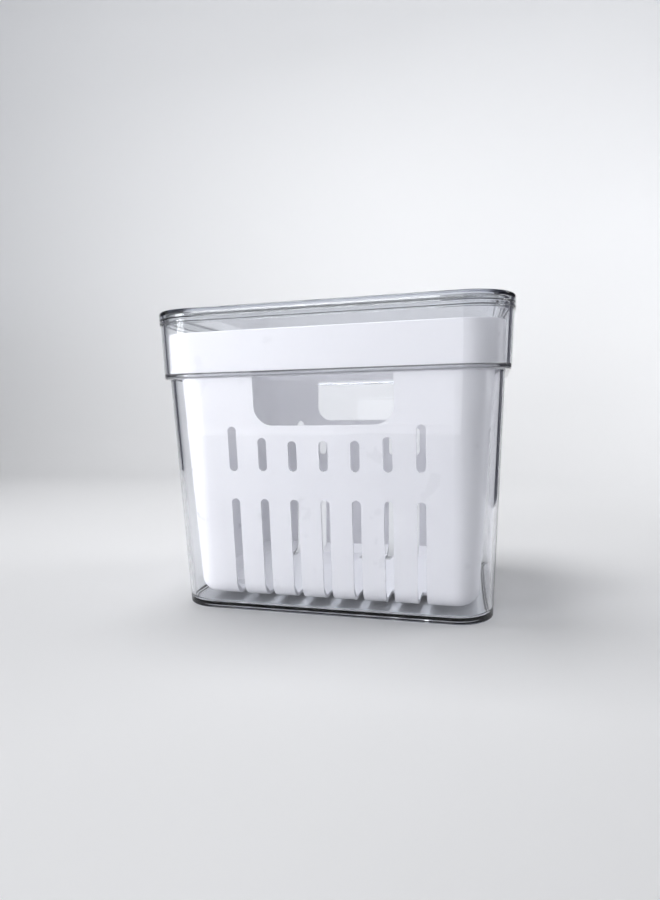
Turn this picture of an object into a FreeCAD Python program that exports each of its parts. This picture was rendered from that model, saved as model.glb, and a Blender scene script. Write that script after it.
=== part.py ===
import FreeCAD, Part
import Sketcher
import math
import os

# Clear fridge bin with a slotted strainer basket hung inside it and a stacking lid.
# Millimetres. +X runs along the long side, +Y to the back, +Z up. The origin is on
# the surface the bin stands on, under the middle of the lid.

# Driving dimensions, in millimetres and degrees
SIZES = [
    # Lid, which gives the whole its length and width
    ("overall_height", 180.3),
    ("lid_length", 211.0),
    ("lid_width", 160.0),
    ("lid_corner", 27.0),
    ("lid_rim_height", 5.0),
    ("lid_wall", 2.2),
    ("lid_edge_bevel", 1.2),
    ("stack_depth", 2.0),
    ("stack_clearance", 0.8),
    ("plug_depth", 3.0),
    ("plug_wall", 1.8),
    ("plug_clearance", 0.7),
    # Bin
    ("lid_overhang", 0.6),
    ("bin_wall", 2.4),
    ("bin_draft", 2.0),
    ("bin_collar", 34.6),
    ("ledge_inset", 3.3),
    ("bead_height", 2.5),
    ("edge_break", 0.4),
    ("floor_thickness", 3.0),
    ("floor_bevel", 2.4),
    ("base_bevel", 1.4),
    ("foot_width", 8.0),
    ("foot_depth", 0.8),
    # Strainer basket
    ("collar_height", 23.8),
    ("shelf_bearing", 2.4),
    ("basket_clearance", 2.6),
    ("basket_wall", 1.8),
    ("basket_floor", 2.0),
    ("basket_draft", 3.5),
    ("basket_lift", 3.0),
    ("basket_corner", 13.0),
    ("basket_round", 10.0),
    ("basket_bevel", 6.0),
    # Hand windows
    ("window_length", 82.8),
    ("window_height", 30.6),
    ("window_corner", 11.5),
    ("window_drop", 0.5),
    # Strainer slots
    ("slot_count", 7),
    ("slot_pitch", 18.7),
    ("slot_width", 5.3),
    ("upper_slot_depth", 58.1),
    ("upper_slot_rise", 18.0),
    ("next_slot_rise", 20.0),
    ("end_slot_rise", 26.8),
    ("slot_row_gap", 16.7),
    ("slot_reach", 24.0),
]

QUARTER = math.pi / 2
TOLERANCE = 1e-3

# Where rectangles are first drawn, before their dimensions move them
DRAWN_X, DRAWN_Y, DRAWN_CORNER = 90, 60, 12


def read_sizes(doc):
    """Write the driving dimensions into the document's sheet."""
    sheet = doc.addObject("Spreadsheet::Sheet", "Sizes")
    for row, (alias, value) in enumerate(SIZES, 1):
        sheet.set(f"A{row}", alias)
        sheet.set(f"B{row}", str(value))
        sheet.setAlias(f"B{row}", alias)
    doc.recompute()
    return sheet


# Outlines, each a length, a width and a corner radius that sketches are bound to


def size(alias):
    return f"Sizes.{alias}"


def inset(outline, amount):
    """The outline drawn in by the same amount all round, corners too."""
    length, width, corner = outline
    return (f"({length} - 2 * ({amount}))", f"({width} - 2 * ({amount}))", f"({corner} - ({amount}))")


def outset(outline, amount):
    return inset(outline, f"-({amount})")


def lower(outline, drop, draft):
    """The outline of a drafted wall this much further down, its corners drawn in with it."""
    return inset(outline, f"({drop}) * tan({draft})")


def with_corner(outline, corner):
    return outline[:2] + (corner,)


# Levels of the lid and the bin
PANEL_TOP = f"({size('overall_height')} - {size('stack_depth')})"
PANEL_UNDER = f"({PANEL_TOP} - {size('lid_wall')})"
MOUTH = f"({size('overall_height')} - {size('lid_rim_height')})"
BEAD = f"({MOUTH} - {size('bead_height')})"
LEDGE = f"({MOUTH} - {size('bin_collar')})"
SHELF = f"({LEDGE} + {size('bin_wall')})"
BIN_BEVEL = size("base_bevel")
BIN_FLOOR = size("floor_thickness")
FLOOR_BEVEL = f"({BIN_FLOOR} + {size('floor_bevel')})"

# Levels of the basket
BASKET_BASE = f"({BIN_FLOOR} + {size('basket_lift')})"
BASKET_FLOOR = f"({BASKET_BASE} + {size('basket_floor')})"
STEP_FLOOR = f"({SHELF} + {size('basket_wall')})"
BASKET_TOP = f"({SHELF} + {size('collar_height')})"
WINDOW_TOP = f"({SHELF} - {size('window_drop')})"
UPPER_SLOT_LOW = f"({SHELF} - {size('upper_slot_depth')})"
LOWER_SLOT_HIGH = f"({UPPER_SLOT_LOW} - {size('slot_row_gap')})"

# Outlines of the bin, from the lid inwards and down
LID = (size("lid_length"), size("lid_width"), size("lid_corner"))
MOUTH_OUTER = inset(LID, size("lid_overhang"))
MOUTH_INNER = inset(MOUTH_OUTER, size("bin_wall"))
LEDGE_OUTER = lower(MOUTH_OUTER, f"{MOUTH} - {LEDGE}", size("bin_draft"))
BODY_TOP = inset(LEDGE_OUTER, size("ledge_inset"))
BODY_LOW = with_corner(lower(BODY_TOP, f"{LEDGE} - {BIN_BEVEL}", size("bin_draft")), BODY_TOP[2])
BASE = inset(BODY_LOW, BIN_BEVEL)
OPENING = inset(BODY_TOP, size("bin_wall"))
HOLLOW_LOW = with_corner(lower(OPENING, f"{SHELF} - {FLOOR_BEVEL}", size("bin_draft")), OPENING[2])

# Outlines of the basket, which hangs by its collar on the shelf round the bin's opening
COLLAR = outset(OPENING, size("shelf_bearing"))
BAND = inset(COLLAR, size("basket_wall"))
BASKET_HIGH = inset(OPENING, size("basket_clearance"))
BASKET_LOW = with_corner(lower(BASKET_HIGH, f"{SHELF} - {BASKET_BASE}", size("basket_draft")),
                         size("basket_corner"))
FLOOR_OUTLINE = lower(inset(BASKET_LOW, size("basket_wall")), f"-{size('basket_floor')}", size("basket_draft"))
HOLLOW_HIGH = lower(FLOOR_OUTLINE, f"{BASKET_FLOOR} - {STEP_FLOOR}", size("basket_draft"))

# Outlines of the lid, which plugs the mouth and takes the foot of a bin above
PLUG = inset(MOUTH_INNER, size("plug_clearance"))
STACK_SEAT = outset(BASE, size("stack_clearance"))
RIM_HOLLOW = inset(LID, size("lid_wall"))


# Sketches


def origin_plane(body, role):
    return next(item for item in body.Origin.OriginFeatures if item.Role == role)


def start_sketch(body, name, role, level="0"):
    """An empty sketch on one of the body's own planes, lifted along that plane's normal."""
    sketch = body.newObject("Sketcher::SketchObject", name)
    sketch.AttachmentSupport = [(origin_plane(body, role), "")]
    sketch.MapMode = "FlatFace"
    sketch.setExpression("AttachmentOffset.Base.z", level)
    return sketch


def bind(sketch, name, constraint, expression):
    """Add a dimension that follows an expression on the sheet."""
    index = sketch.addConstraint(constraint)
    sketch.renameConstraint(index, name)
    sketch.setExpression(f"Constraints.{name}", expression)


def add_line(sketch, start, end):
    return sketch.addGeometry(Part.LineSegment(FreeCAD.Vector(*start, 0), FreeCAD.Vector(*end, 0)))


def add_arc(sketch, centre, radius, first, last):
    circle = Part.Circle(FreeCAD.Vector(*centre, 0), FreeCAD.Vector(0, 0, 1), radius)
    return sketch.addGeometry(Part.ArcOfCircle(circle, first, last))


def tangent_chain(sketch, pieces):
    """Join neighbours end to start, smoothly."""
    for piece, following in pieces:
        sketch.addConstraint(Sketcher.Constraint("Tangent", piece, 2, following, 1))


def rounded_rectangle(sketch, outline, tag=""):
    """Four sides and four equal corners, centred on the sketch's origin."""
    radius = DRAWN_CORNER
    low_x, low_y = DRAWN_X - radius, DRAWN_Y - radius
    sides = [
        add_line(sketch, (-low_x, -DRAWN_Y), (low_x, -DRAWN_Y)),
        add_line(sketch, (DRAWN_X, -low_y), (DRAWN_X, low_y)),
        add_line(sketch, (low_x, DRAWN_Y), (-low_x, DRAWN_Y)),
        add_line(sketch, (-DRAWN_X, low_y), (-DRAWN_X, -low_y)),
    ]
    centres = [(low_x, -low_y), (low_x, low_y), (-low_x, low_y), (-low_x, -low_y)]
    corners = [
        add_arc(sketch, centre, radius, (turn - 1) * QUARTER, turn * QUARTER)
        for turn, centre in enumerate(centres)
    ]
    tangent_chain(sketch, zip(sides, corners))
    tangent_chain(sketch, zip(corners, sides[1:] + sides[:1]))
    for other in corners[1:]:
        sketch.addConstraint(Sketcher.Constraint("Equal", corners[0], other))
    for side, direction in zip(sides, ["Horizontal", "Vertical"] * 2):
        sketch.addConstraint(Sketcher.Constraint(direction, side))
    front, right, back, left = sides
    sketch.addConstraint(Sketcher.Constraint("Symmetric", front, 1, back, 1, -1, 1))
    bind(sketch, f"length{tag}", Sketcher.Constraint("DistanceX", left, 1, right, 1, 2 * DRAWN_X), outline[0])
    bind(sketch, f"width{tag}", Sketcher.Constraint("DistanceY", front, 1, back, 1, 2 * DRAWN_Y), outline[1])
    bind(sketch, f"corner{tag}", Sketcher.Constraint("Radius", corners[0], radius), outline[2])


def upright_slot(sketch, across, low, high, tag=""):
    """A round-ended slot along the sketch's own Y, with its middle line at across."""
    radius, first_low, first_high = 2.5, 10, 40
    right = add_line(sketch, (radius, first_low), (radius, first_high))
    top = add_arc(sketch, (0, first_high), radius, 0, 2 * QUARTER)
    left = add_line(sketch, (-radius, first_high), (-radius, first_low))
    bottom = add_arc(sketch, (0, first_low), radius, 2 * QUARTER, 4 * QUARTER)
    tangent_chain(sketch, [(right, top), (top, left), (left, bottom), (bottom, right)])
    sketch.addConstraint(Sketcher.Constraint("Vertical", right))
    sketch.addConstraint(Sketcher.Constraint("Equal", top, bottom))
    half = f"{size('slot_width')} / 2"
    bind(sketch, f"across{tag}", Sketcher.Constraint("DistanceX", -1, 1, top, 3, 0), across)
    bind(sketch, f"high{tag}", Sketcher.Constraint("DistanceY", -1, 1, top, 3, first_high), f"{high} - {half}")
    bind(sketch, f"low{tag}", Sketcher.Constraint("DistanceY", -1, 1, bottom, 3, first_low), f"{low} + {half}")
    bind(sketch, f"radius{tag}", Sketcher.Constraint("Radius", top, radius), half)


def floor_slot(sketch, across, low, high, tag):
    """A square-ended slot along the sketch's own Y, with its middle line at across."""
    half, first_low, first_high = 2.5, 10, 40
    corners = [(-half, first_low), (half, first_low), (half, first_high), (-half, first_high)]
    sides = [add_line(sketch, start, end) for start, end in zip(corners, corners[1:] + corners[:1])]
    for side, following in zip(sides, sides[1:] + sides[:1]):
        sketch.addConstraint(Sketcher.Constraint("Coincident", side, 2, following, 1))
    for side, direction in zip(sides, ["Horizontal", "Vertical"] * 2):
        sketch.addConstraint(Sketcher.Constraint(direction, side))
    bottom, right = sides[:2]
    width = size("slot_width")
    bind(sketch, f"left{tag}", Sketcher.Constraint("DistanceX", -1, 1, bottom, 1, -half), f"{across} - {width} / 2")
    bind(sketch, f"width{tag}", Sketcher.Constraint("DistanceX", bottom, 1, bottom, 2, 2 * half), width)
    bind(sketch, f"low{tag}", Sketcher.Constraint("DistanceY", -1, 1, right, 1, first_low), low)
    bind(sketch, f"high{tag}", Sketcher.Constraint("DistanceY", -1, 1, right, 2, first_high), high)


def window_outline(sketch):
    """A hand window: square at its straight top edge and round at its two lower corners."""
    half, low, high, radius = 40, 110, 140, 10
    top = add_line(sketch, (half, high), (-half, high))
    left = add_line(sketch, (-half, high), (-half, low + radius))
    left_round = add_arc(sketch, (radius - half, low + radius), radius, 2 * QUARTER, 3 * QUARTER)
    bottom = add_line(sketch, (radius - half, low), (half - radius, low))
    right_round = add_arc(sketch, (half - radius, low + radius), radius, 3 * QUARTER, 4 * QUARTER)
    right = add_line(sketch, (half, low + radius), (half, high))
    for piece, following in [(right, top), (top, left)]:
        sketch.addConstraint(Sketcher.Constraint("Coincident", piece, 2, following, 1))
    tangent_chain(sketch, [(left, left_round), (left_round, bottom), (bottom, right_round), (right_round, right)])
    for side, direction in [(bottom, "Horizontal"), (left, "Vertical"), (right, "Vertical")]:
        sketch.addConstraint(Sketcher.Constraint(direction, side))
    sketch.addConstraint(Sketcher.Constraint("Equal", left_round, right_round))
    sketch.addConstraint(Sketcher.Constraint("Symmetric", top, 1, top, 2, -2))
    bind(sketch, "length", Sketcher.Constraint("DistanceX", top, 2, top, 1, 2 * half), size("window_length"))
    bind(sketch, "high", Sketcher.Constraint("DistanceY", -1, 1, top, 1, high), WINDOW_TOP)
    bind(sketch, "low", Sketcher.Constraint("DistanceY", -1, 1, bottom, 1, low),
         f"{WINDOW_TOP} - {size('window_height')}")
    bind(sketch, "corner", Sketcher.Constraint("Radius", left_round, radius), size("window_corner"))


# Features


def level_sketch(body, name, level, *outlines):
    """A level sketch of one rounded outline, or of a ring between two."""
    sketch = start_sketch(body, name, "XY_Plane", level)
    for index, outline in enumerate(outlines):
        rounded_rectangle(sketch, outline, str(index or ""))
    return sketch


def pad(body, name, sketch, length, draft="0"):
    """Raise a sketch upwards, growing outwards by the draft."""
    feature = body.newObject("PartDesign::Pad", name)
    feature.Profile = sketch
    feature.setExpression("Length", length)
    feature.setExpression("TaperAngle", draft)
    return feature


def pocket(body, name, sketch, depth, draft="0", upwards=False):
    """Cut a sketch downwards, narrowing by the draft, or straight upwards."""
    feature = body.newObject("PartDesign::Pocket", name)
    feature.Profile = sketch
    feature.Reversed = upwards
    feature.setExpression("Length", depth)
    feature.setExpression("TaperAngle", f"-({draft})")
    return feature


def cut_both_walls(body, name, sketch):
    """Cut an upright sketch through the front wall and the back wall alike."""
    feature = body.newObject("PartDesign::Pocket", name)
    feature.Profile = sketch
    feature.Type = "ThroughAll"
    feature.SideType = "Symmetric"
    return feature


def value_of(sheet, expression):
    """The plain value of an expression on the sheet."""
    value = sheet.evalExpression(expression)
    return float(getattr(value, "Value", value))


def level_loop(body, feature, level, outline):
    """Names of a feature's edges at one level, in the loop that reaches the end of an outline."""
    body.Document.recompute()
    sheet = body.Document.Sizes
    height, reach = value_of(sheet, level), value_of(sheet, outline[0]) / 2
    flat = {}
    for index, edge in enumerate(feature.Shape.Edges, 1):
        box = edge.BoundBox
        if abs(box.ZMin - height) < TOLERANCE and abs(box.ZMax - height) < TOLERANCE:
            flat[f"Edge{index}"] = edge
    for loop in Part.sortEdges(list(flat.values())):
        if abs(max(edge.BoundBox.XMax for edge in loop) - reach) < TOLERANCE:
            return [name for name, edge in flat.items() if any(edge.isSame(other) for other in loop)]
    return []


def drafted_block(body, name, low, high, outline, draft):
    """A block that widens upwards from an outline."""
    pad(body, name, level_sketch(body, f"{name}Outline", low, outline), f"{high} - {low}", draft)


def drafted_hollow(body, name, low, high, outline, draft):
    """A hollow that narrows downwards from an outline."""
    pocket(body, name, level_sketch(body, f"{name}Outline", high, outline), f"{high} - {low}", draft)


def wall_loft(body, kind, name, low, low_outline, high, high_outline):
    """A tall form between two level outlines, added or cut away, whose corners are as round at both."""
    feature = body.newObject(f"PartDesign::{kind}Loft", name)
    feature.Profile = level_sketch(body, f"{name}Low", low, low_outline)
    feature.Sections = [level_sketch(body, f"{name}High", high, high_outline)]
    feature.Ruled = True


def dress_loops(body, kind, name, amount, *places):
    """Round or bevel level loops of edges, each given by its level and outline."""
    feature = body.newObject(f"PartDesign::{kind}", name)
    edges = [edge for place in places for edge in level_loop(body, feature.BaseFeature, *place)]
    feature.Base = (feature.BaseFeature, edges)
    feature.setExpression("Radius" if kind == "Fillet" else "Size", amount)


# Sub-parts


def make_bin(doc):
    """The clear bin: a drafted body, a ledge, a wider collar above it and a bead round the mouth."""
    body = doc.addObject("PartDesign::Body", "bin")
    draft = size("bin_draft")
    drafted_block(body, "BaseBevel", "0", BIN_BEVEL, BASE, "45")
    wall_loft(body, "Additive", "BinBody", BIN_BEVEL, BODY_LOW, LEDGE, BODY_TOP)
    drafted_block(body, "BinCollar", LEDGE, MOUTH, LEDGE_OUTER, draft)
    pad(body, "MouthBead", level_sketch(body, "BeadOutline", BEAD, LID), size("bead_height"))
    drafted_hollow(body, "CollarHollow", SHELF, MOUTH, MOUTH_INNER, draft)
    wall_loft(body, "Subtractive", "BodyHollow", FLOOR_BEVEL, HOLLOW_LOW, SHELF, OPENING)
    drafted_hollow(body, "FloorBevel", BIN_FLOOR, FLOOR_BEVEL, HOLLOW_LOW, "45")
    foot = level_sketch(body, "FootRecess", "0", inset(BASE, size("foot_width")))
    pocket(body, "FootHollow", foot, size("foot_depth"), upwards=True)
    dress_loops(body, "Chamfer", "BinEdges", size("edge_break"), (LEDGE, LEDGE_OUTER), (MOUTH, LID))
    return body


def make_basket_shell(doc):
    """The basket before its openings: a collar that hangs on the bin's shelf and a body with a round base."""
    body = doc.addObject("PartDesign::Body", "basket")
    draft = size("basket_draft")
    drafted_block(body, "BasketBody", BASKET_BASE, SHELF, BASKET_LOW, draft)
    pad(body, "BasketCollar", level_sketch(body, "CollarOutline", SHELF, COLLAR), size("collar_height"))
    band = level_sketch(body, "BandOutline", BASKET_TOP, BAND)
    pocket(body, "BandHollow", band, f"{BASKET_TOP} - {STEP_FLOOR}")
    drafted_hollow(body, "BasketHollow", BASKET_FLOOR, STEP_FLOOR, HOLLOW_HIGH, draft)
    dress_loops(body, "Chamfer", "FloorBevel", size("basket_bevel"), (BASKET_FLOOR, FLOOR_OUTLINE))
    dress_loops(body, "Fillet", "BaseRound", size("basket_round"), (BASKET_BASE, BASKET_LOW))
    dress_loops(body, "Chamfer", "RimEdge", size("edge_break"), (BASKET_TOP, COLLAR))
    return body


def upper_slot_rises(count):
    """How high each slot of the upper row is: the outermost stand tallest and the next ones a little taller."""
    rises = ["upper_slot_rise"] * count
    rises[1] = rises[-2] = "next_slot_rise"
    rises[0] = rises[-1] = "end_slot_rise"
    return rises


def slot_across(index, count):
    return f"{index - (count - 1) / 2} * {size('slot_pitch')}"


def make_basket(doc):
    """The strainer basket, with hand windows and two rows of slots in its front and back."""
    body = make_basket_shell(doc)
    count = int(doc.Sizes.get("slot_count"))
    window = start_sketch(body, "WindowOutline", "XZ_Plane")
    window_outline(window)
    cut_both_walls(body, "HandWindows", window)
    upper = start_sketch(body, "UpperSlotOutlines", "XZ_Plane")
    for index, rise in enumerate(upper_slot_rises(count)):
        high = f"{UPPER_SLOT_LOW} + {size(rise)}"
        upright_slot(upper, slot_across(index, count), UPPER_SLOT_LOW, high, str(index))
    cut_both_walls(body, "UpperSlots", upper)
    cut_lower_slots(body, count)
    return body


def cut_lower_slots(body, count):
    """The lower row: each slot runs down the wall, round the base and on into the floor.

    The upright cut makes the part in the wall. The level one makes the part round the
    base, from front and from back, and stops square either side of the floor's middle.
    """
    first = slot_across(0, count)
    turn = f"({BASKET_BASE} + {size('basket_round')})"
    upright = start_sketch(body, "LowerSlotOutline", "XZ_Plane")
    upright_slot(upright, first, f"{turn} - {size('slot_width')}", LOWER_SLOT_HIGH)
    wall_cut = cut_both_walls(body, "LowerSlot", upright)
    level = start_sketch(body, "FloorSlotOutlines", "XY_Plane", turn)
    edge = f"{BASKET_LOW[1]} / 2"
    outside, inside = f"({edge} + {size('basket_round')})", f"({edge} - {size('slot_reach')})"
    floor_slot(level, first, f"-{outside}", f"-{inside}", "Front")
    floor_slot(level, first, inside, outside, "Back")
    floor_cut = pocket(body, "FloorSlots", level, f"{size('basket_round')} + {size('basket_floor')}")
    row = body.newObject("PartDesign::LinearPattern", "LowerRow")
    row.Originals = [wall_cut, floor_cut]
    row.Direction = (origin_axis(body), [""])
    row.Occurrences = count
    row.setExpression("Length", f"{count - 1} * {size('slot_pitch')}")
    body.Tip = row


def origin_axis(body):
    return next(item for item in body.Origin.OriginFeatures if item.Role == "X_Axis")


def make_lid(doc):
    """The clear lid: a rim on the mouth bead, a plug inside the mouth and a panel that a bin above nests in."""
    body = doc.addObject("PartDesign::Body", "lid")
    top = size("overall_height")
    wall = size("lid_wall")
    plug_low = f"({MOUTH} - {size('plug_depth')})"
    pad(body, "LidBlock", level_sketch(body, "LidOutline", MOUTH, LID), size("lid_rim_height"))
    pocket(body, "StackRecess", level_sketch(body, "StackSeat", top, STACK_SEAT), size("stack_depth"))
    under = level_sketch(body, "UnderPanel", MOUTH, RIM_HOLLOW)
    pocket(body, "PanelUnderside", under, f"{PANEL_UNDER} - {MOUTH}", upwards=True)
    groove = level_sketch(body, "RimGroove", PANEL_UNDER, RIM_HOLLOW, outset(STACK_SEAT, wall))
    pocket(body, "GrooveHollow", groove, size("stack_depth"), upwards=True)
    plug = level_sketch(body, "PlugRing", plug_low, PLUG, inset(PLUG, size("plug_wall")))
    pad(body, "Plug", plug, f"{top} - {wall} - {plug_low}")
    dress_loops(body, "Chamfer", "LidEdge", size("lid_edge_bevel"), (top, LID))
    return body


def main():
    doc = FreeCAD.newDocument("FridgeOrganizer")
    read_sizes(doc)
    bodies = [make_bin(doc), make_basket(doc), make_lid(doc)]
    doc.recompute()
    for item in doc.Objects:
        if any(word in item.State for word in ("Invalid", "Error")):
            raise RuntimeError(f"{item.Name} did not build: {item.State}")
    for body in bodies:
        if body.Shape.isNull() or not body.Shape.isValid():
            raise RuntimeError(f"{body.Label} has no valid shape")
    os.makedirs("parts", exist_ok=True)
    for body in bodies:
        body.Shape.exportStep(f"parts/{body.Label}.step")


main()
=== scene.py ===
"""A clear fridge organizer with its lid and the white slotted basket inside it."""
import math

import bmesh
import bpy
from mathutils import Matrix, Vector


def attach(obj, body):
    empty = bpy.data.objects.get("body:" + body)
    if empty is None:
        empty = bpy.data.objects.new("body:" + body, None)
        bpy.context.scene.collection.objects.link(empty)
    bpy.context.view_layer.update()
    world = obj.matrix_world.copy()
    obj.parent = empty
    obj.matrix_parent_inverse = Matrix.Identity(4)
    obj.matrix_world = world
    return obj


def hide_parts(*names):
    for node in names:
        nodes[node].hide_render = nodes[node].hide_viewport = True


MM = 0.001
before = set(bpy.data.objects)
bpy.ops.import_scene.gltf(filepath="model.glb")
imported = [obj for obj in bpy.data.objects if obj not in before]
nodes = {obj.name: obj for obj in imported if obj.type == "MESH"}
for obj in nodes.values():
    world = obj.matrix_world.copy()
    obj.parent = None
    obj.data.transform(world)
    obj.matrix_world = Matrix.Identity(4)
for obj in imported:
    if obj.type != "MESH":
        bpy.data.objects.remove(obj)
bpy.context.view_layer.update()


# Camera

CAMERA_PLACE = (93.78, -399.15, 121.38)
CAMERA_AZIMUTH, CAMERA_DIP, CAMERA_ROLL = 15.18, 6.38, -1.09
CAMERA_LENS, CAMERA_SENSOR, CAMERA_SHIFT = 24.0, 36, 0.0284


def aim_camera():
    """A camera right of the middle, turned to the left and down, and tipped a little."""
    azimuth, dip = math.radians(CAMERA_AZIMUTH), math.radians(CAMERA_DIP)
    roll = math.radians(CAMERA_ROLL)
    forward = Vector((-math.sin(azimuth) * math.cos(dip), math.cos(azimuth) * math.cos(dip),
                      -math.sin(dip)))
    right = Vector((math.cos(azimuth), math.sin(azimuth), 0))
    above = right.cross(forward)
    right, above = (right * math.cos(roll) + above * math.sin(roll),
                    above * math.cos(roll) - right * math.sin(roll))
    camera = bpy.data.objects.new("camera", bpy.data.cameras.new("camera"))
    bpy.context.scene.collection.objects.link(camera)
    turn = Matrix((right, above, -forward)).transposed().to_4x4()
    camera.matrix_world = Matrix.Translation(Vector(CAMERA_PLACE) * MM) @ turn
    camera.data.sensor_width = CAMERA_SENSOR
    camera.data.lens = CAMERA_LENS
    camera.data.shift_y = CAMERA_SHIFT
    camera.data.clip_start = 0.01
    bpy.context.scene.camera = camera


# Materials


def new_material(name):
    material = bpy.data.materials.new(name)
    material.use_nodes = True
    tree = material.node_tree
    tree.nodes.clear()
    return material, tree.nodes, tree.links


def moulded_surface():
    """A moulded wall: its height, from slow ripples and a fine grain, and its wiping marks."""
    group = bpy.data.node_groups.new("moulded_surface", "ShaderNodeTree")
    face = group.interface
    for name, value in (("Ripple size", 30.0), ("Ripple", 1.0), ("Grain size", 900.0),
                        ("Grain", 0.1)):
        socket = face.new_socket(name, in_out="INPUT", socket_type="NodeSocketFloat")
        socket.default_value = value
    face.new_socket("Height", in_out="OUTPUT", socket_type="NodeSocketFloat")
    face.new_socket("Marks", in_out="OUTPUT", socket_type="NodeSocketFloat")
    add, link = group.nodes.new, group.links.new
    given, out = add("NodeGroupInput"), add("NodeGroupOutput")
    place = add("ShaderNodeTexCoord")
    ripple, grain, marks = (add("ShaderNodeTexNoise") for _ in range(3))
    for noise, detail in ((ripple, 1.0), (grain, 3.0), (marks, 4.0)):
        noise.inputs["Detail"].default_value = detail
        link(place.outputs["Object"], noise.inputs["Vector"])
    link(given.outputs["Ripple size"], ripple.inputs["Scale"])
    link(given.outputs["Grain size"], grain.inputs["Scale"])
    marks.inputs["Scale"].default_value = 45.0
    slow, fine, height = (add("ShaderNodeMath") for _ in range(3))
    slow.operation = fine.operation = "MULTIPLY"
    link(ripple.outputs["Fac"], slow.inputs[0])
    link(given.outputs["Ripple"], slow.inputs[1])
    link(grain.outputs["Fac"], fine.inputs[0])
    link(given.outputs["Grain"], fine.inputs[1])
    link(slow.outputs[0], height.inputs[0])
    link(fine.outputs[0], height.inputs[1])
    link(height.outputs[0], out.inputs["Height"])
    link(marks.outputs["Fac"], out.inputs["Marks"])
    return group


def clear_plastic(name, surface, tint, shade, dense):
    """Glossy clear plastic with faint ripples and a light haze of use.

    It tints light with depth, and lets lamps through to what is inside, less at a slant.
    """
    material, add, links = new_material(name)
    out, mix = add.new("ShaderNodeOutputMaterial"), add.new("ShaderNodeMixShader")
    plastic, passing, path = (add.new("ShaderNodeBsdfPrincipled"),
                              add.new("ShaderNodeBsdfTransparent"),
                              add.new("ShaderNodeLightPath"))
    finish, bump, haze = (add.new("ShaderNodeGroup"), add.new("ShaderNodeBump"),
                          add.new("ShaderNodeMapRange"))
    depth = add.new("ShaderNodeVolumeAbsorption")
    finish.node_tree = surface
    finish.inputs["Ripple size"].default_value = 22.0
    finish.inputs["Ripple"].default_value = 1.0
    finish.inputs["Grain"].default_value = 0.0
    plastic.inputs["Base Color"].default_value = (*tint, 1)
    plastic.inputs["Transmission Weight"].default_value = 1.0
    plastic.inputs["IOR"].default_value = 1.49
    slant, sharp, let_by = (add.new("ShaderNodeLayerWeight"), add.new("ShaderNodeMath"),
                            add.new("ShaderNodeMix"))
    let_by.data_type = "RGBA"
    let_by.inputs["A"].default_value = (*shade, 1)
    let_by.inputs["B"].default_value = (0, 0, 0, 1)
    slant.inputs["Blend"].default_value = 0.5
    sharp.operation = "POWER"
    sharp.inputs[1].default_value = 2.0
    links.new(slant.outputs["Facing"], sharp.inputs[0])
    links.new(sharp.outputs[0], let_by.inputs["Factor"])
    links.new(let_by.outputs["Result"], passing.inputs["Color"])
    depth.inputs["Color"].default_value = (0.10, 0.16, 0.36, 1)
    depth.inputs["Density"].default_value = dense
    bump.inputs["Distance"].default_value = 0.0002
    bump.inputs["Strength"].default_value = 0.35
    haze.inputs["From Min"].default_value, haze.inputs["From Max"].default_value = 0.45, 0.75
    haze.inputs["To Min"].default_value, haze.inputs["To Max"].default_value = 0.015, 0.07
    links.new(finish.outputs["Height"], bump.inputs["Height"])
    links.new(bump.outputs["Normal"], plastic.inputs["Normal"])
    links.new(finish.outputs["Marks"], haze.inputs["Value"])
    links.new(haze.outputs["Result"], plastic.inputs["Roughness"])
    links.new(path.outputs["Is Shadow Ray"], mix.inputs["Fac"])
    links.new(plastic.outputs["BSDF"], mix.inputs[1])
    links.new(passing.outputs["BSDF"], mix.inputs[2])
    links.new(mix.outputs["Shader"], out.inputs["Surface"])
    links.new(depth.outputs["Volume"], out.inputs["Volume"])
    return material


def white_plastic(surface):
    """White moulded plastic: satin, faintly mottled, with a fine grain."""
    material, add, links = new_material("white_plastic")
    out, plastic = add.new("ShaderNodeOutputMaterial"), add.new("ShaderNodeBsdfPrincipled")
    finish, bump = add.new("ShaderNodeGroup"), add.new("ShaderNodeBump")
    tone, gloss = add.new("ShaderNodeMix"), add.new("ShaderNodeMapRange")
    finish.node_tree = surface
    finish.inputs["Ripple size"].default_value = 18.0
    finish.inputs["Ripple"].default_value = 0.6
    finish.inputs["Grain size"].default_value = 1500.0
    finish.inputs["Grain"].default_value = 0.10
    tone.data_type = "RGBA"
    tone.inputs["A"].default_value = (0.78, 0.775, 0.81, 1)
    tone.inputs["B"].default_value = (0.82, 0.815, 0.845, 1)
    gloss.inputs["From Min"].default_value, gloss.inputs["From Max"].default_value = 0.3, 0.7
    gloss.inputs["To Min"].default_value, gloss.inputs["To Max"].default_value = 0.26, 0.36
    bump.inputs["Distance"].default_value = 0.0002
    bump.inputs["Strength"].default_value = 0.3
    links.new(finish.outputs["Marks"], tone.inputs["Factor"])
    links.new(tone.outputs["Result"], plastic.inputs["Base Color"])
    links.new(finish.outputs["Marks"], gloss.inputs["Value"])
    links.new(gloss.outputs["Result"], plastic.inputs["Roughness"])
    links.new(finish.outputs["Height"], bump.inputs["Height"])
    links.new(bump.outputs["Normal"], plastic.inputs["Normal"])
    links.new(plastic.outputs["BSDF"], out.inputs["Surface"])
    return material


def dress(piece, material):
    piece.data.materials.clear()
    piece.data.materials.append(material)


# Clear mouldings, in millimetres
# An outline is a rounded rectangle's length, width and corner radius

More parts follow.
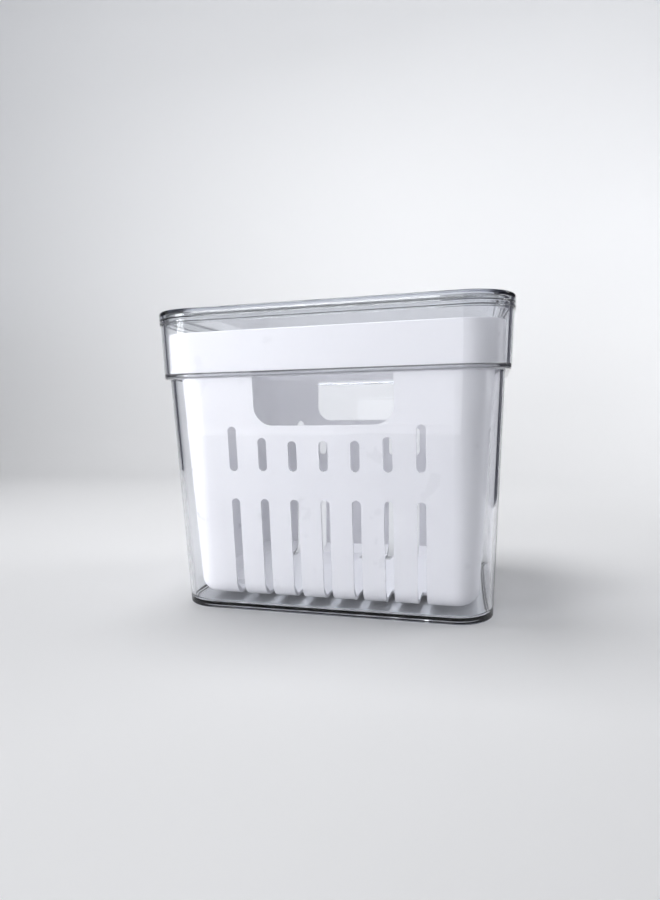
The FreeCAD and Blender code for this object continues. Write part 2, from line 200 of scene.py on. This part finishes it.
CORNER_STEPS = 14
ROUND_STEPS = 4
DRAFT = math.tan(math.radians(2))
LID, SEAT, PLUG = (211, 160, 27), (189.85, 138.85, 21.3), (203.6, 152.6, 23.3)
LID_TOP, MOUTH, BEAD, SHELF, LEDGE = 180.3, 175.3, 172.8, 143.1, 140.7
PANEL_TOP, PANEL_UNDER, GROOVE_TOP, PLUG_LOW = 178.3, 176.1, 178.1, 172.3
WALL, FLOOR, LID_WALL, PLUG_WALL = 2.4, 3.0, 2.2, 1.8
FLOOR_BEVEL, BASE_BEVEL = 1.8, 0.6
BEAD_PROUD, LEDGE_STEP, MOUTH_GAP = 0.6, 3.3, 0.1
FOOT_RING, FOOT_RISE = 8, 0.3


def inset(outline, depth):
    length, width, corner = outline
    return length - 2 * depth, width - 2 * depth, corner - depth


def straight_inset(outline, depth):
    """The outline of a wall that leans inwards and keeps its corner radius."""
    length, width, corner = outline
    return length - 2 * depth, width - 2 * depth, corner


def lay_ring(ring, outline, level):
    """Lays a ring of points along a rounded rectangle at a level."""
    length, width, corner = outline
    for index, point in enumerate(ring):
        quarter, step = divmod(index, CORNER_STEPS + 1)
        angle = math.radians(90 * (quarter + step / CORNER_STEPS))
        side_x, side_y = (1, -1, -1, 1)[quarter], (1, 1, -1, -1)[quarter]
        point.co = Vector((side_x * (length / 2 - corner) + corner * math.cos(angle),
                           side_y * (width / 2 - corner) + corner * math.sin(angle), level)) * MM


def ring_edges(mesh, ring):
    return [mesh.edges.get((point, after)) for point, after in zip(ring, ring[1:] + ring[:1])]


def carry_ring(mesh, ring):
    """The ring of points that the wall grows to from a ring."""
    grown = bmesh.ops.extrude_edge_only(mesh, edges=ring_edges(mesh, ring))["geom"]
    fresh = {item for item in grown if isinstance(item, bmesh.types.BMVert)}
    return [next(edge.other_vert(point) for edge in point.link_edges
                 if edge.other_vert(point) in fresh) for point in ring]


def mould(name, section):
    """A closed moulding through the rings of a section, each an outline, a level and a round.

    Both ends are capped.
    """
    mesh = bmesh.new()
    rings = [bmesh.ops.create_circle(mesh, segments=4 * (CORNER_STEPS + 1), radius=MM)["verts"]]
    for _ in section[1:]:
        rings.append(carry_ring(mesh, rings[-1]))
    for ring, (outline, level, _) in zip(rings, section):
        lay_ring(ring, outline, level)
    loops = [ring_edges(mesh, ring) for ring in rings]
    bmesh.ops.contextual_create(mesh, geom=loops[0])
    bmesh.ops.contextual_create(mesh, geom=loops[-1])
    bmesh.ops.recalc_face_normals(mesh, faces=mesh.faces)
    for (_, _, radius), loop in zip(section, loops):
        if radius:
            bmesh.ops.bevel(mesh, geom=loop, offset=radius * MM, segments=ROUND_STEPS,
                            profile=0.5, affect="EDGES", material=-1)
    return finish_piece(name, mesh)


def finish_piece(name, mesh):
    data = bpy.data.meshes.new(name)
    mesh.to_mesh(data)
    mesh.free()
    data.shade_smooth()
    piece = bpy.data.objects.new(name, data)
    bpy.context.scene.collection.objects.link(piece)
    piece.modifiers.new("flat_walls", "WEIGHTED_NORMAL").weight = 50
    return piece


def make_clear_bin():
    """The bin's wall, from its foot up outside, over the mouth and down inside to its floor."""
    mouth = inset(LID, BEAD_PROUD)
    ledge = inset(mouth, (MOUTH - LEDGE) * DRAFT)
    body = inset(ledge, LEDGE_STEP)
    low = straight_inset(body, (LEDGE - BASE_BEVEL) * DRAFT)
    base = inset(low, BASE_BEVEL)
    opening = inset(body, WALL)
    hollow = straight_inset(opening, (SHELF - FLOOR - FLOOR_BEVEL) * DRAFT)
    bead = MOUTH - MOUTH_GAP
    return mould("clear_bin", (
        (inset(base, FOOT_RING), FOOT_RISE, 0), (inset(base, FOOT_RING), 0, 0.1),
        (base, 0, 0.25), (low, BASE_BEVEL, 0.3), (body, LEDGE, 0.9), (ledge, LEDGE, 1.3),
        (inset(mouth, (MOUTH - BEAD) * DRAFT), BEAD, 0.25), (LID, BEAD, 0.7), (LID, bead, 0.8),
        (inset(mouth, WALL), bead, 0.5),
        (inset(ledge, WALL - (SHELF - LEDGE) * DRAFT), SHELF, 0.9), (opening, SHELF, 0.7),
        (hollow, FLOOR + FLOOR_BEVEL, 0.9), (inset(hollow, FLOOR_BEVEL), FLOOR, 0.9)))


def make_clear_lid():
    """The lid, from its sunk panel over the rim, round the plug and back under the panel."""
    groove, bore, under = inset(LID, LID_WALL), inset(PLUG, PLUG_WALL), inset(SEAT, -LID_WALL)
    return mould("clear_lid", (
        (SEAT, PANEL_TOP, 0.4), (SEAT, LID_TOP, 0.5), (LID, LID_TOP, 1.2), (LID, MOUTH, 0.8),
        (groove, MOUTH, 0.3), (groove, GROOVE_TOP, 0.3), (PLUG, GROOVE_TOP, 0.3),
        (PLUG, PLUG_LOW, 0.5), (bore, PLUG_LOW, 0.5), (bore, GROOVE_TOP, 0.3),
        (under, GROOVE_TOP, 0.3), (under, PANEL_UNDER, 0.4)))


# Room, in millimetres

TABLE_FRONT, TABLE_DEPTH, TABLE_SIDE, TABLE_DROP = -1200, 2300, 2000, 0.1
BACKDROP_HEIGHT, BACKDROP_ROUND, BACKDROP_FADE = 2000, 500, (500, 900)
TABLE_PALE, CARD_DARK = (0.83, 0.835, 0.85), (0.06, 0.06, 0.08)
SEEN_PALE, FILL_PALE = (0.83, 0.838, 0.87), (0.80, 0.82, 0.86)
CARD_HEIGHT = 320
CARDS = (("card_right", ((280, 320, 0), (420, -120, 0))),
         ("card_left", ((-700, 260, 0), (-700, -80, 0))))
WALL_LIGHT_SPREAD = 110
LAMPS = (  # name, place, what it points at, width, height, watts
    ("window_light", (-1000, -1000, 300), (0, 0, 90), 500, 500, 10.2),
    ("front_glow", (-310, -1000, 250), (-310, 0, 250), 760, 500, 1.1),
    ("top_light", (-250, 50, 1000), (-250, 50, 0), 500, 500, 6.2),
    ("side_light", (1100, 500, 450), (0, 0, 90), 700, 700, 8),
    ("wall_light", (-200, 300, 1500), (-200, 1100, 500), 2400, 300, 2.2))


def plain_surface(name, colour, rough, fade=None):
    """A plain surface, which may fade to a dim room above the object for all but the camera."""
    material, add, links = new_material(name)
    out, coat = add.new("ShaderNodeOutputMaterial"), add.new("ShaderNodeBsdfPrincipled")
    coat.inputs["Base Color"].default_value = (*colour, 1)
    coat.inputs["Roughness"].default_value = rough
    if not fade:
        links.new(coat.outputs["BSDF"], out.inputs["Surface"])
        return material
    dim, mix = add.new("ShaderNodeBsdfDiffuse"), add.new("ShaderNodeMixShader")
    place, split, path = (add.new("ShaderNodeTexCoord"), add.new("ShaderNodeSeparateXYZ"),
                          add.new("ShaderNodeLightPath"))
    climb, share = add.new("ShaderNodeMapRange"), add.new("ShaderNodeMath")
    dim.inputs["Color"].default_value = (0.03, 0.03, 0.04, 1)
    climb.inputs["From Min"].default_value = fade[0] * MM
    climb.inputs["From Max"].default_value = fade[1] * MM
    share.operation = "SUBTRACT"
    share.use_clamp = True
    links.new(place.outputs["Object"], split.inputs["Vector"])
    links.new(split.outputs["Z"], climb.inputs["Value"])
    links.new(climb.outputs["Result"], share.inputs[0])
    links.new(path.outputs["Is Camera Ray"], share.inputs[1])
    links.new(share.outputs[0], mix.inputs["Fac"])
    links.new(coat.outputs["BSDF"], mix.inputs[1])
    links.new(dim.outputs["BSDF"], mix.inputs[2])
    links.new(mix.outputs["Shader"], out.inputs["Surface"])
    return material


def add_sheet(name, line, rise, material, round_to=0):
    """A sheet drawn from a line of two points, carried along each rise, its folds rounded."""
    mesh = bmesh.new()
    ends = [mesh.verts.new(Vector(point) * MM) for point in line]
    edge, folds = mesh.edges.new(ends), []
    for step in rise:
        grown = bmesh.ops.extrude_edge_only(mesh, edges=[edge])["geom"]
        bmesh.ops.translate(mesh, vec=Vector(step) * MM,
                            verts=[g for g in grown if isinstance(g, bmesh.types.BMVert)])
        edge = next(g for g in grown if isinstance(g, bmesh.types.BMEdge) and g.is_boundary
                    and all(point in grown for point in g.verts))
        folds.append(edge)
    if round_to:
        bmesh.ops.bevel(mesh, geom=folds[:-1], offset=round_to * MM, segments=24, profile=0.5,
                        affect="EDGES", material=-1)
    data = bpy.data.meshes.new(name)
    mesh.to_mesh(data)
    mesh.free()
    data.shade_smooth()
    sheet = bpy.data.objects.new(name, data)
    bpy.context.scene.collection.objects.link(sheet)
    data.materials.append(material)
    return sheet


def make_room():
    """A pale table that curves up into the backdrop, and dark cards for the clear edges to show."""
    pale = plain_surface("pale_table", TABLE_PALE, 0.5, BACKDROP_FADE)
    front = [(side, TABLE_FRONT, -TABLE_DROP) for side in (-TABLE_SIDE, TABLE_SIDE)]
    add_sheet("table", front, ((0, TABLE_DEPTH, 0), (0, 0, BACKDROP_HEIGHT)), pale, BACKDROP_ROUND)
    dark = plain_surface("dark_card", CARD_DARK, 0.9)
    for name, line in CARDS:
        card = add_sheet(name, line, ((0, 0, CARD_HEIGHT),), dark)
        card.visible_camera = card.visible_diffuse = card.visible_shadow = False


def light_world():
    """A pale world for the camera, which is dimmer above for all else."""
    world = bpy.data.worlds.new("studio")
    bpy.context.scene.world = world
    world.use_nodes = True
    add, links = world.node_tree.nodes, world.node_tree.links
    add.clear()
    out, mix, path = (add.new("ShaderNodeOutputWorld"), add.new("ShaderNodeMixShader"),
                      add.new("ShaderNodeLightPath"))
    seen, fill = add.new("ShaderNodeBackground"), add.new("ShaderNodeBackground")
    toward, split, climb = (add.new("ShaderNodeTexCoord"), add.new("ShaderNodeSeparateXYZ"),
                            add.new("ShaderNodeMapRange"))
    seen.inputs["Color"].default_value = (*SEEN_PALE, 1)
    fill.inputs["Color"].default_value = (*FILL_PALE, 1)
    climb.inputs["From Min"].default_value, climb.inputs["From Max"].default_value = 0.15, 0.45
    climb.inputs["To Min"].default_value, climb.inputs["To Max"].default_value = 0.80, 0.10
    links.new(toward.outputs["Generated"], split.inputs["Vector"])
    links.new(split.outputs["Z"], climb.inputs["Value"])
    links.new(climb.outputs["Result"], fill.inputs["Strength"])
    links.new(path.outputs["Is Camera Ray"], mix.inputs["Fac"])
    links.new(fill.outputs[0], mix.inputs[1])
    links.new(seen.outputs[0], mix.inputs[2])
    links.new(mix.outputs[0], out.inputs["Surface"])


def add_lamp(name, place, target, width, height, power):
    lamp = bpy.data.objects.new(name, bpy.data.lights.new(name, "AREA"))
    bpy.context.scene.collection.objects.link(lamp)
    lamp.data.shape = "RECTANGLE"
    lamp.data.size, lamp.data.size_y, lamp.data.energy = width * MM, height * MM, power
    turn = ((Vector(target) - Vector(place)) * MM).to_track_quat("-Z", "Y").to_matrix().to_4x4()
    lamp.matrix_world = Matrix.Translation(Vector(place) * MM) @ turn
    return lamp


def light_room():
    """The world and the lamps. The window stays out of reflections."""
    light_world()
    lamps = {name: add_lamp(name, *rest) for name, *rest in LAMPS}
    lamps["window_light"].visible_glossy = False
    lamps["wall_light"].data.spread = math.radians(WALL_LIGHT_SPREAD)


def assemble():
    """Puts the clear bin and lid in place of their solids, and finishes all three pieces."""
    surface = moulded_surface()
    bin_plastic = clear_plastic("bin_plastic", surface, tint=(0.985, 0.99, 1.0),
                                shade=(0.93, 0.935, 0.94), dense=14.0)
    lid_plastic = clear_plastic("lid_plastic", surface, tint=(0.98, 0.99, 0.985),
                                shade=(0.74, 0.75, 0.76), dense=40.0)
    for piece, node, plastic in ((make_clear_bin(), "bin", bin_plastic),
                                 (make_clear_lid(), "lid", lid_plastic)):
        dress(piece, plastic)
        dress(nodes[node], plastic)
        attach(piece, "root")
        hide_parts(node)
    dress(nodes["basket"], white_plastic(surface))


bpy.context.scene.view_settings.view_transform = "Standard"
aim_camera()
assemble()
make_room()
light_room()
